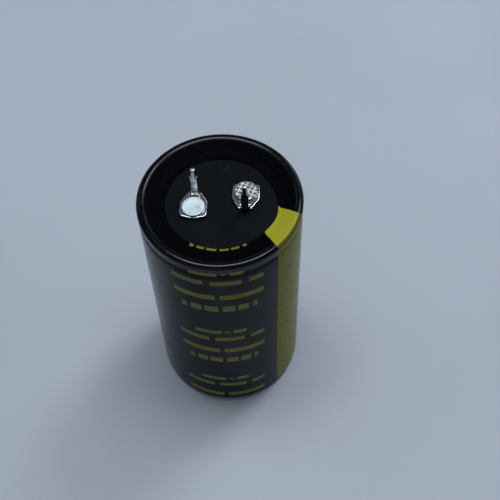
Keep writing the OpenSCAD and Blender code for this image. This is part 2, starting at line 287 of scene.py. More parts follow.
@dataclass(frozen=True)
class FilmFinish:
    """Black shrink film with an olive stripe and rows of plain ink marks.

    Heights are in millimetres and angles in degrees, both on the film's own map.
    """

    black: Triple = (0.0010, 0.0013, 0.0022)
    stripe: Triple = (0.25, 0.24, 0.020)
    ink: Triple = (0.15, 0.15, 0.018)
    film_r: float = 15.22
    stripe_span: Point = (-23.4, 8.5)
    stripe_edge: float = 0.15
    stripe_wander: float = 0.7
    # Painted light: between these heights the stripe goes from dimmed on the wall to brightened on top.
    stripe_painted_light_heights: Point = (55.5, 57.0)
    stripe_painted_light_strength: Point = (0.8, 1.3)
    # Painted shade: between these heights on the rim's outer flank the stripe is darkened, as shade would
    # fall there.
    painted_shade_flank: Point = (55.25, 56.45)
    painted_shade_flank_edge: float = 0.25
    painted_shade_flank_strength: float = 0.4
    specular: float = 0.085
    rim_specular: float = 0.23
    rim_heights: Point = (53.5, 55.5)
    matt_heights: Point = (57.3, 58.0)
    matt_shine: float = 0.05
    stripe_shine: float = 0.35
    roughness: Point = (0.13, 0.27)
    matt_roughness: float = 0.35
    stripe_roughness: float = 0.07
    repeat: float = 21.3
    first_row: float = 39.6
    mark_r: float = 0.28
    mark_edge: float = 0.03
    mark_least: float = 0.02
    rows: tuple[InkRow, ...] = (
        InkRow(0.9, 2.7, ((-96.5, -92.5),)),
        InkRow(1.1, 3.1, ((-89.5, -81.5), (-79.5, -69.5), (-66.5, -57.5), (-55.5, -47.5), (-44.5, -41.0))),
        InkRow(5.5, 7.1, ((-101.5, -71.0), (-68.0, -36.0))),
        InkRow(10.5, 11.9, ((-102.0, -78.5), (-74.0, -52.0), (-47.0, -36.0))),
        InkRow(13.5, 14.8, ((-88.5, -68.5), (-60.0, -50.0))),
        InkRow(13.9, 14.4, ((-66.5, -62.0),)),
    )
    nick_w: float = 0.16
    nick_edge: Point = (0.2, 0.1)
    nicks: tuple[Triple, ...] = ((-11.6, 46.4, 0.55), (-13.1, 25.3, 0.6), (3.0, 33.0, 0.3))

    def build(self) -> Material:
        """Makes the film's material.

        Returns:
            The material.
        """
        g = Surface("shrink_film", roughness=0.2, specular=self.specular)
        place = g.add("ShaderNodeUVMap", uv_map="film").outputs[0]
        degrees, up, _ = g.split(g.vector("MULTIPLY", place, (MAP_TURN, MAP_HEIGHT, 0.0)))
        grain = g.noise(g.mm, scale=0.35, detail=3.0)
        wander = g.math("MULTIPLY_ADD", grain, self.stripe_wander, -self.stripe_wander / 2)
        stripe = g.band(g.total(degrees, wander), *self.stripe_span, self.stripe_edge)
        across = g.product(degrees, math.radians(self.film_r))
        matt = g.ramp(up, *self.matt_heights)
        smear = g.ramp(g.noise(g.mm, scale=0.9, detail=5.0, rough=0.6), 0.35, 0.75, *self.roughness)
        rough = g.total(smear, g.product(stripe, self.stripe_roughness), g.product(matt, self.matt_roughness))
        shine = g.product(g.ramp(up, *self.rim_heights, self.specular, self.rim_specular),
                          g.dim(matt, self.matt_shine), g.dim(stripe, self.stripe_shine))
        g.feed(g.shader, {"Specular IOR Level": shine})
        peel = g.bump(g.noise(g.mm, scale=1.6), 0.01, 0.5)
        return g.set(self._colour(g, across, up, grain, stripe), rough, peel)

    def _colour(self, g: Surface, across: Value, up: Socket, grain: Socket, stripe: Value) -> Socket:
        """Prints the stripe and the ink on the black, with painted light on the stripe's top and painted
        shade on its outer flank.

        Args:
            g: The material under way.
            across: Distance round the film.
            up: Height up the film.
            grain: The noise that clouds the black.
            stripe: Mask of the stripe.

        Returns:
            The film's colour.
        """
        worn = g.noise(g.mm, scale=2.2, detail=4.0, rough=0.65)
        ink = g.product(self._marks(g, across, up), g.ramp(worn, 0.2, 0.42, 0.55, 1.0))
        # Painted shade: a mask of the rim's outer flank, where the stripe's colour is darkened.
        painted_shade_flank = g.band(up, *self.painted_shade_flank, self.painted_shade_flank_edge)
        # Painted light and shade: brightens the stripe on top, dims it on the wall, and darkens it on the
        # outer flank.
        strength = g.product(g.ramp(up, *self.stripe_painted_light_heights, *self.stripe_painted_light_strength),
                             g.dim(painted_shade_flank, self.painted_shade_flank_strength))
        yellow = g.vector("SCALE", g.mottle(worn, self.stripe, 0.9, span=(0.25, 0.75)), strength)
        black = g.mottle(grain, self.black, 1.0, 1.35)
        printed = g.mix(stripe, g.mix(ink, black, self.ink), yellow)
        return g.mix(g.product(stripe, self._nicks(g, across, up)), printed, self.black)

    def _marks(self, g: Surface, across: Value, up: Socket) -> Value:
        """Draws all ink marks, repeated along the film.

        Args:
            g: The material under way.
            across: Distance round the film.
            up: Height up the film.

        Returns:
            A mask that is 1 in a mark.
        """
        row = g.math("FLOORED_MODULO", g.math("SUBTRACT", up, self.first_row), self.repeat)
        point = g.join(across, row, 0.0)
        mask = 0.0
        for line in self.rows:
            for left, right in (np.radians(span) * self.film_r for span in line.spans):
                centre = (float(left + right) / 2, (line.low + line.high) / 2, 0.0)
                half = (float(right - left) / 2 - self.mark_r, (line.high - line.low) / 2 - self.mark_r)
                inner = (*(max(side, self.mark_least) for side in half), 0.0)
                away = g.vector("SUBTRACT", g.vector("ABSOLUTE", g.vector("SUBTRACT", point, centre)), inner)
                away = g.vector("LENGTH", g.vector("MAXIMUM", away, (0.0, 0.0, 0.0)))
                mark = g.ramp(away, self.mark_r + self.mark_edge, self.mark_r - self.mark_edge)
                mask = g.math("MAXIMUM", mask, mark)
        return mask

    def _nicks(self, g: Surface, across: Value, up: Socket) -> Value:
        """Draws the short dark nicks in the stripe.

        Args:
            g: The material under way.
            across: Distance round the film.
            up: Height up the film.

        Returns:
            A mask that is 1 in a nick.
        """
        point = g.join(across, up, 0.0)
        mask = 0.0
        for angle, height, half in self.nicks:
            away = g.vector("SUBTRACT", point, (math.radians(angle) * self.film_r, height, 0.0))
            away = g.vector("MULTIPLY", g.vector("ABSOLUTE", away), (1.0, self.nick_w / half, 0.0))
            mask = g.math("MAXIMUM", mask, g.ramp(g.vector("LENGTH", away), *self.nick_edge))
        return mask


@dataclass(frozen=True)
class SealFinish:
    """Matte black rubber with a cloudy bloom and grains of dust."""

    colour: Triple = (0.0012, 0.0024, 0.0038)
    dust: Triple = (0.16, 0.17, 0.18)

    def build(self) -> Material:
        """Makes the rubber's material.

        Returns:
            The material.
        """
        g = Surface("seal_rubber", roughness=0.62, specular=0.07)
        bloom = g.noise(g.mm, scale=0.22, detail=4.0, rough=0.6)
        coarse, fine = g.specks(g.mm, 0.55, 0.055), g.specks(g.mm, 1.3, 0.06)
        dust = g.math("MAXIMUM", coarse, g.product(fine, 0.4))
        colour = g.mix(g.product(dust, 0.8), g.mottle(bloom, self.colour, 0.8, 1.25), self.dust)
        grain = g.bump(g.noise(g.mm, scale=14.0, detail=3.0), 0.01, 0.6)
        return g.set(colour, g.spread(bloom, 0.55, 0.7), g.bump(g.noise(g.mm, scale=0.6), 0.06, 0.4, grain))


@dataclass(frozen=True)
class TinFinish:
    """Bright tin plate on stamped steel, with rolling marks and dull patches."""

    colour: Triple = (0.72, 0.73, 0.74)

    def build(self) -> Material:
        """Makes the tin's material.

        Returns:
            The material.
        """
        g = Surface("tin_plate", roughness=0.24, metallic=1.0)
        patch = g.noise(g.mm, scale=1.7, detail=4.0, rough=0.6)
        rolled = g.noise(g.mm, scale=(9.0, 9.0, 0.8), detail=3.0)
        rough = g.total(g.ramp(patch, 0.3, 0.75, 0.08, 0.16), g.product(rolled, 0.06))
        relief = g.bump(rolled, 0.001, 0.5, g.bump(patch, 0.01, 0.3))
        return g.set(g.mottle(patch, self.colour, 0.84), rough, relief)


class HeadFace(Enum):
    """What is pressed into a rivet's head."""

    SMOOTH = "smooth"
    WAFFLE = "waffle"


@dataclass(frozen=True)
class RivetFinish:
    """Aluminium of a rivet's head, etched matte or left bright between the pits, with painted shade in the
    pits.
    """

    face: HeadFace
    top: float
    matte: Triple = (0.56, 0.66, 0.71)
    bright: Triple = (0.60, 0.63, 0.67)
    # Painted shade in the waffle's pits: the depths below the top over which it darkens, and its strength.
    pit: Point = (0.01, 0.08)
    pit_shade_strength: float = 0.2

    def build(self) -> Material:
        """Makes the rivet's material.

        Returns:
            The material.
        """
        smooth = self.face is HeadFace.SMOOTH
        colour = self.matte if smooth else self.bright
        g = Surface(f"rivet_{self.face.value}", roughness=0.5 if smooth else 0.3, metallic=1.0)
        cloud = g.noise(g.mm, scale=1.1, detail=4.0, rough=0.55)
        tint = g.mottle(cloud, colour, 0.8, span=(0.35, 0.7))
        if not smooth:
            # Painted shade: the pits are darkened towards their bottoms, as shade would fall in them.
            pit_shade = g.ramp(g.split(g.mm)[2], *(self.top - depth for depth in self.pit))
            tint = g.mix(pit_shade, tint, tuple(self.pit_shade_strength * c for c in colour))
        rough = g.spread(cloud, *((0.46, 0.62) if smooth else (0.34, 0.46)))
        etched = g.bump(g.noise(g.mm, scale=22.0, detail=3.0, rough=0.6), 0.002, 0.5)
        return g.set(tint, rough, g.bump(cloud, 0.03, 0.3, etched))


@dataclass(frozen=True)
class DrawnFinish:
    """Satin aluminium, drawn along the axis or turned round it."""

    name: str
    colour: Triple = (0.78, 0.79, 0.80)
    stretch: Triple = (6.0, 6.0, 0.25)
    roughness: float = 0.36

    def build(self) -> Material:
        """Makes the aluminium's material.

        Returns:
            The material.
        """
        g = Surface(self.name, roughness=self.roughness, metallic=1.0)
        lines = g.noise(g.mm, scale=self.stretch, detail=4.0, rough=0.6)
        tint = g.mottle(g.noise(g.mm, scale=0.25, detail=3.0), self.colour, 0.88)
        return g.set(tint, g.total(g.spread(lines, -0.07, 0.09), self.roughness), g.bump(lines, 0.01, 0.6))


@dataclass(frozen=True)
class BoardFinish:
    """Brown phenolic paper laminate, mottled on its faces and layered at its edge."""

    dark: Triple = (0.14, 0.055, 0.018)
    light: Triple = (0.30, 0.15, 0.06)

    def build(self) -> Material:
        """Makes the board's material.

        Returns:
            The material.
        """
        g = Surface("phenolic_board", specular=0.4)
        layers = g.noise(g.mm, scale=(0.3, 0.3, 9.0), detail=3.0)
        fibre = g.noise(g.mm, scale=3.0, detail=5.0, rough=0.7)
        colour = g.mix(g.math("MULTIPLY_ADD", layers, 0.6, g.product(fibre, 0.4)), self.dark, self.light)
        return g.set(colour, g.spread(fibre, 0.42, 0.6), g.bump(fibre, 0.02, 0.5))


@dataclass(frozen=True)
class RollFinish:
    """Edges of foil and paper wound together, with plain paper round the outside."""

    paper: Triple = (0.72, 0.62, 0.42)
    foil: Triple = (0.30, 0.29, 0.27)
    turn: float = 0.42
    foil_edge: Point = (0.16, 0.08)

    def build(self) -> Material:
        """Makes the roll's material.

        Returns:
            The material.
        """
        g = Surface("foil_and_paper_roll", roughness=0.6, specular=0.4)
        x, y, _ = g.split(g.mm)
        radius = g.vector("LENGTH", g.join(x, y, 0.0))
        angle = g.math("DIVIDE", g.math("ARCTAN2", y, x), math.tau)
        turns = g.math("FRACT", g.math("SUBTRACT", g.math("DIVIDE", radius, self.turn), angle))
        foil = g.ramp(g.math("ABSOLUTE", g.math("SUBTRACT", turns, 0.5)), *self.foil_edge)
        fibre = g.noise(g.mm, scale=2.5, detail=5.0, rough=0.7)
        colour = g.mix(foil, g.mottle(fibre, self.paper, 0.75), self.foil)
        return g.set(colour, g.spread(fibre, 0.5, 0.72), g.bump(foil, 0.03, 0.4, g.bump(fibre, 0.02, 0.5)))


@dataclass(frozen=True)
class TapeFinish:
    """Yellowish tape with fine lengthwise streaks."""

    colour: Triple = (0.62, 0.50, 0.16)

    def build(self) -> Material:
        """Makes the tape's material.

        Returns:
            The material.
        """
        g = Surface("closing_tape", roughness=0.3)
        streak = g.noise(g.mm, scale=(0.3, 0.3, 5.0), detail=3.0)
        relief = g.bump(streak, 0.01, 0.5)
        return g.set(g.mottle(streak, self.colour, 0.85), g.spread(streak, 0.24, 0.38), relief)


@dataclass(frozen=True)
class StudioFinish:
    """Pale blue-grey paper of the floor and its sweep."""

    colour: Triple = (0.43, 0.475, 0.55)

    def build(self) -> Material:
        """Returns the paper's material."""
        g = Surface("studio_paper", roughness=0.9, specular=0.1)
        return g.set(g.mottle(g.noise(g.mm, scale=0.012), self.colour, 0.96, 1.03, span=(0.25, 0.75)))


# Meshes and outlines


def placed(name: str, data: bpy.types.ID) -> Object:
    """Makes an object of some data, at the origin and in the scene.

    Args:
        name: The object's name.
        data: Its mesh, curve, lamp or camera.

    Returns:
        The object.
    """
    piece = bpy.data.objects.new(name, data)
    bpy.context.scene.collection.objects.link(piece)
    return piece


def evaluated(piece: Object) -> Object:
    """Replaces a piece's mesh by what its modifiers make of it, and removes them.

    Args:
        piece: The object to make plain.

    Returns:
        The same object.
    """
    graph = bpy.context.evaluated_depsgraph_get()
    graph.update()
    result = piece.evaluated_get(graph)
    made = bpy.data.meshes.new_from_object(result, preserve_all_data_layers=True, depsgraph=graph)
    old = piece.data
    piece.modifiers.clear()
    piece.data = made
    bpy.data.meshes.remove(old)
    made.name = piece.name
    return piece


def dress(piece: Object, material: Material, slot: str, *stands_for: str) -> Object:
    """Gives a finished piece its material and its place in the frame.

    Args:
        piece: The finished object.
        material: Its material.
        slot: The record's material slot; not used.
        *stands_for: The solids that it replaces.

    Returns:
        The same object.
    """
    piece.data.materials.clear()
    piece.data.materials.append(material)
    if stands_for:
        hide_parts(*stands_for)
    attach(piece, BODY)
    log.info("%s: %d faces, %s", piece.name, len(piece.data.polygons), material.name)
    return piece


def lathe(name: str, outline: Profile, segments: int, closed: bool = True) -> Object:
    """Turns an outline round the Z axis.

    Args:
        name: The piece's name.
        outline: Points (radius, height), in millimetres. A radius of 0 makes a pole.
        segments: Number of steps round the axis.
        closed: Whether the last point is joined to the first.

    Returns:
        The object, at the origin and in the scene.
    """
    points, rings = [], []
    turns = [math.tau * k / segments for k in range(segments)]
    for radius, height in outline:
        start = len(points)
        if radius == 0:
            rings.append([start] * segments)
            points.append((0.0, 0.0, height))
            continue
        rings.append(range(start, start + segments))
        points += [(radius * math.cos(turn), radius * math.sin(turn), height) for turn in turns]
    faces = []
    for low, high in zip(rings, rings[1:] + rings[:1] if closed else rings[1:]):
        for k in range(segments):
            m = (k + 1) % segments
            corners = list(dict.fromkeys((low[k], low[m], high[m], high[k])))
            if len(corners) > 2:
                faces.append(corners)
    mesh = bpy.data.meshes.new(name)
    mesh.from_pydata([tuple(MM * c for c in point) for point in points], [], faces)
    mesh.shade_smooth()
    return placed(name, mesh)


def arc(centre: Point, radius: float, start: float, end: float, count: int) -> Profile:
    """Returns points on an arc, in degrees from the first axis."""
    turns = [math.radians(start + (end - start) * i / count) for i in range(count + 1)]
    return [(centre[0] + radius * math.cos(turn), centre[1] + radius * math.sin(turn)) for turn in turns]


def between(a: Point, b: Point, count: int) -> Profile:
    """Returns the points inside a straight stretch that is cut into equal steps."""
    return [(a[0] + (b[0] - a[0]) * i / count, a[1] + (b[1] - a[1]) * i / count) for i in range(1, count)]


def ease(value: Amount, start: float = 0.0, end: float = 1.0) -> Amount:
    """Returns a smooth rise from 0 to 1 while a value goes from start to end."""
    return (1 - np.cos(math.pi * np.clip((value - start) / (end - start), 0.0, 1.0))) / 2


class Relief(Graph):
    """A Geometry Nodes tree that moves a surface by a rule, with named inputs."""

    def __init__(self, name: str, **sizes: float) -> None:
        """Starts the tree.

        Args:
            name: The tree's name.
            **sizes: Named sizes of the rule and their values.
        """
        super().__init__(bpy.data.node_groups.new(name, "GeometryNodeTree"))
        self.sizes = sizes
        kinds = {"Geometry": "Geometry", **dict.fromkeys(sizes, "Float"), "finish": "Material"}
        face = self.tree.interface
        self.keys = {label: face.new_socket(label, in_out="INPUT", socket_type=f"NodeSocket{kind}").identifier
                     for label, kind in kinds.items()}
        face.new_socket("Geometry", in_out="OUTPUT", socket_type="NodeSocketGeometry")
        self.given = self.add("NodeGroupInput").outputs

    def place(self) -> list[Socket]:
        """Returns the three components of a point's place, in metres."""
        return self.split(self.add("GeometryNodeInputPosition").outputs[0])

    def finish(self, offset: Socket) -> None:
        """Ends the tree: the surface moves by the offset and gets its material.

        Args:
            offset: How far each point moves, as a vector.
        """
        moved = self.add("GeometryNodeSetPosition", {"Geometry": self.given["Geometry"], "Offset": offset})
        real = self.add("GeometryNodeRealizeInstances", {0: moved.outputs[0]})
        painted = {"Geometry": real.outputs[0], "Material": self.given["finish"]}
        self.add("NodeGroupOutput", {0: self.add("GeometryNodeSetMaterial", painted).outputs[0]})

    def apply(self, piece: Object, material: Material) -> Object:
        """Runs the tree on a piece and keeps the result as a plain mesh.

        Args:
            piece: The object to move.
            material: The finish that the tree sets.

        Returns:
            The same object.
        """
        modifier = piece.modifiers.new(self.tree.name, "NODES")
        modifier.node_group = self.tree
        for label, value in self.sizes.items():
            modifier[self.keys[label]] = float(value)
        modifier[self.keys["finish"]] = material
        return evaluated(piece)


# Sub-assemblies


@dataclass(frozen=True)
class CutEdge:
    """How the film's cut edge on the seal strays from a circle, in millimetres and degrees."""

    mean: float = -0.05
    bulge: float = 0.62
    bulge_at: float = 5.0
    bulge_w: float = 28.0
    tilt: float = 0.15
    tilt_at: float = 114.5
    waves: tuple[Triple, ...] = ((0.04, 5.0, 0.0), (0.03, 11.0, 60.0))
    depth: float = 0.85

    def shift(self, angle: np.ndarray) -> np.ndarray:
        """Shapes the edge.

        Args:
            angle: Angles round the axis.

        Returns:
            How far the edge moves outward at each.
        """
        moved = self.mean + self.bulge * np.exp(-((angle - self.bulge_at) / self.bulge_w) ** 2)
        moved -= self.tilt * np.cos(np.radians(angle - self.tilt_at))
        for height, count, start in self.waves:
            moved += height * np.sin(np.radians(count * angle + start))
        return moved


@dataclass
class Sleeve:
    """Film shrunk on the can: wall, bridge over the bead, rim, slope and turned-in edges.

    Sizes are in millimetres and angles in degrees.
    """

    can_z: float = 0.22
    corner_r: float = 1.3
    rim_step: float = 0.04
    curl_r: float = 0.64
    curl_h: float = 0.45
    lip_slope: float = 25.0
    bead_depth: float = 1.0
    bead_w: float = 3.2
    bead_z: float = 52.92
    bridge_sink: float = 0.2
    thickness: float = 0.2
    gap: float = 0.02
    fold_r: float = 3.0
    top_lap: float = 0.5
    base_lap: float = 2.7
    burr: Point = (0.04, 0.03)
    cut: CutEdge = CutEdge()
    segments: int = 384
    twist: float = 8.7
    twist_from: Point = (-55.0, 0.0)
    twist_to: Point = (70.0, 25.0)
    stretch: float = 1.31
    slack_least: float = 0.12
    slack_seal: float = 0.55
    slack_seal_r: float = 13.6
    slack_bead_r: float = 14.0
    slack_bead_w: float = 1.6
    slack_bead_rise: float = 0.3
    wrinkle: float = 0.05
    wrinkle_mean: float = 0.62

    def wall_r(self, z: float) -> float:
        """Returns the can's outer radius at a height."""
        step = self.rim_step * ease((z - self.bead_z) / self.bead_w, -0.5, 0.5)
        return CAN_R + step - self.bead_depth * (1 - ease(abs(z - self.bead_z), 0.0, self.bead_w / 2))

    def bridge(self, out: float, count: int) -> Profile:
        """Follows one face of the film from the wall over the bead to the shoulder.

        Args:
            out: Distance outside the film's inner face.
            count: Number of steps.

        Returns:
            Points (radius, height).
        """
        inner = []
        for t in (i / count for i in range(count + 1)):
            z = self.bead_z + self.bead_w * (t - 0.5)
            sunk = CAN_R + self.rim_step * ease(t) - self.bridge_sink * (1 - math.cos(math.tau * t * t)) / 2
            inner.append((self.gap + max(self.wall_r(z), sunk), z))
        moved = []
        for i, (r, z) in enumerate(inner):
            a, b = inner[max(i - 1, 0)], inner[min(i + 1, count)]
            step = out / math.dist(a, b)
            moved.append((r + step * (b[1] - a[1]), z - step * (b[0] - a[0])))
        return moved

    def curl(self, out: float, count: int) -> Profile:
        """Follows the film over the flattened curl to the lip.

        Args:
            out: Distance outside the can.
            count: Number of steps.

        Returns:
            Points (radius, height).
        """
        wide, high = self.curl_r + out, self.curl_h + out
        turn = math.pi / 2 + math.atan(math.tan(math.radians(self.lip_slope)) * wide / high)
        centre_r, centre_z = CAN_R + self.rim_step - self.curl_r, CURL_Z - self.curl_h
        return [(centre_r + wide * math.cos(turn * i / count), centre_z + high * math.sin(turn * i / count))
                for i in range(count + 1)]

    def fold_at(self) -> Point:
        """Finds the centre of the curve that turns the film from the lip's slope onto the seal.

        Returns:
            Its radius and height.
        """
        slope = math.radians(self.lip_slope)
        lip, film_z = self.curl(self.gap, 1)[-1], SEAL_Z + self.gap
        corner_r = lip[0] - (lip[1] - film_z) / math.tan(slope)
        return corner_r - self.fold_r * math.tan(slope / 2), film_z + self.fold_r

    def side(self, out: float, fine: int) -> Profile:
        """Follows one face of the film from the base opening to the top opening.

        Args:
            out: Distance outside the can.
            fine: Multiplier for the number of points.

        Returns:
            Points (radius, height).
        """
        straight_r, fold_at = CAN_R - self.corner_r, self.fold_at()
        base, top = (straight_r - self.base_lap, self.can_z - out), (fold_at[0] - self.top_lap, SEAL_Z + out)
        corner = arc((straight_r, self.can_z + self.corner_r), self.corner_r + out, -90, 0, 6 * fine)
        bridge = self.bridge(out - self.gap, 12 * fine)
        wall = between((CAN_R + out, corner[-1][1]), (CAN_R + out, bridge[0][1]), 10 * fine)
        curl = self.curl(out, 9 * fine)
        fold = arc(fold_at, self.fold_r + self.gap - out, 270 + self.lip_slope, 270, 4 * fine)
        return ([base] + between(base, corner[0], 3 * fine) + corner + wall + bridge + curl
                + between(curl[-1], fold[0], 3 * fine) + fold + between(fold[-1], top, 4 * fine) + [top])

    def build(self) -> Object:
        """Makes the film, trims it, maps it, shrinks it and dresses it.

        Returns:
            The finished sleeve.
        """
        outer = self.side(self.gap + self.thickness, 3)
        inner = self.side(self.gap, 1)[::-1]
        r, z = outer[-1]
        middle = ((r + inner[0][0]) / 2, (z + inner[0][1]) / 2)
        edge = [(r + self.burr[0], z), (r, z - self.burr[1])]
        edge += arc(middle, self.thickness / 2, 90, 270, 4)[2:-2]
        outline = outer[:-1] + edge + inner
        piece = lathe("shrink_sleeve", outline, self.segments)
        self._trim(piece, r)
        self._map(piece, outline, len(outer) + 3)
        material = FilmFinish().build()
        return dress(self._shrink().apply(piece, material), material, "sleeve_film", "sleeve")

    def _trim(self, piece: Object, edge_r: float) -> None:
        """Makes the film's cut edge on the seal uneven, as shrinking leaves it.

        Args:
            piece: The turned film.
            edge_r: Radius of the cut edge before.
        """
        co = np.zeros(len(piece.data.vertices) * 3, dtype=np.float32)
        piece.data.vertices.foreach_get("co", co)
        co = co.reshape(-1, 3)
        reach = np.hypot(co[:, 0], co[:, 1]) / MM
        angle = np.degrees(np.arctan2(co[:, 1], co[:, 0]))
        held = np.clip((edge_r + self.cut.depth - reach) / self.cut.depth, 0.0, 1.0)
        held *= co[:, 2] > self.bead_z * MM
        co[:, :2] *= (1.0 + self.cut.shift(angle) * held / reach)[:, None]
        piece.data.vertices.foreach_set("co", co.ravel())

    def _map(self, piece: Object, outline: Profile, shown: int) -> None:
        """Writes the film's map and how slack it is at each point.

        Args:
            piece: The turned film, with its faces in the lathe's order.
            outline: The outline that it was turned from.
            shown: Number of the outline's points on the outer face.
        """
        ring, step = np.divmod(np.arange(len(outline) * self.segments), self.segments)
        step = np.where(step < self.segments / 2, step, step - self.segments)
        ring = np.add.outer(ring, (0, 0, 1, 1)).ravel() % len(outline)
        angle = np.add.outer(step, (0, 1, 1, 0)).ravel() * MAP_TURN / self.segments
        along, inward = self._lengths(outline, shown)
        near = ease(angle, *self.twist_from) * ease(angle, *self.twist_to)
        degrees = angle - self.twist * inward[ring] * near
        uv = np.stack([degrees / MAP_TURN, along[ring] / MAP_HEIGHT], 1)
        layer = piece.data.uv_layers.new(name="film")
        layer.data.foreach_set("uv", uv.astype(np.float32).ravel())
        slack = np.array([self._slack(r, z) for r, z in outline], dtype=np.float32)
        attribute = piece.data.attributes.new("slack", "FLOAT", "POINT")
        attribute.data.foreach_set("value", np.repeat(slack, self.segments))

    def _lengths(self, outline: Profile, shown: int) -> tuple[np.ndarray, np.ndarray]:
        """Measures the film along its outline, as it lay before it shrank.

        Args:
            outline: The outline that the film was turned from.
            shown: Number of its points on the outer face.

        Returns:
            Each point's height on the map, and its share of the way in from the crest to the cut edge.
        """
        along = np.cumsum([0.0] + [math.dist(a, b) for a, b in zip(outline, outline[1:])])
        wall = next(i for i, point in enumerate(outline) if point[1] > self.can_z + self.corner_r + 1e-6)
        along += outline[wall][1] - along[wall]
        along[shown:] = along[shown - 1]
        crest = along[max(range(shown), key=lambda i: outline[i][1])]
        inward = np.maximum(0.0, along - crest) / (along[-1] - crest)
        return np.where(along > CURL_Z, CURL_Z + (along - CURL_Z) * self.stretch, along), inward

    def _slack(self, r: float, z: float) -> float:
        """Tells how slack the film is at a point of its outline.

        Args:
            r: The point's radius.
            z: The point's height.

        Returns:
            The slack, from 0 to 1.
        """
        most = 0.0
        if r > self.slack_bead_r:
            most = math.exp(-((z - self.bead_z - self.slack_bead_rise) / self.slack_bead_w) ** 2)
        elif z > SEAL_Z - self.thickness / 2 and r < self.slack_seal_r:
            most = self.slack_seal
        return self.slack_least + (1 - self.slack_least) * most

    def _shrink(self) -> Relief:
        """Makes the rule for the shrink wrinkles: shallow streaks that run up the film.

        Returns:
            The rule.
        """
        g = Relief("shrink_wrinkles", depth=self.wrinkle * MM, mean=self.wrinkle_mean, streaks=3.6,
                   length=60.0, seed=3.0)
        x, y, z = g.place()
        reach = g.vector("LENGTH", g.join(x, y, 0.0))
        outward = [g.math("DIVIDE", side, reach) for side in (x, y)]
        where = g.join(*(g.product(side, g.given["streaks"]) for side in outward),
                       g.total(g.product(z, g.given["length"]), g.given["seed"]))
        waves = g.math("SUBTRACT", g.noise(where, scale=3.0, detail=1.5), g.given["mean"])
        slack = g.add("GeometryNodeInputNamedAttribute", {"Name": "slack"}, data_type="FLOAT").outputs[0]
        amount = g.product(waves, g.given["depth"], slack)
        g.finish(g.vector("SCALE", g.join(*outward, 0.0), amount))
        return g


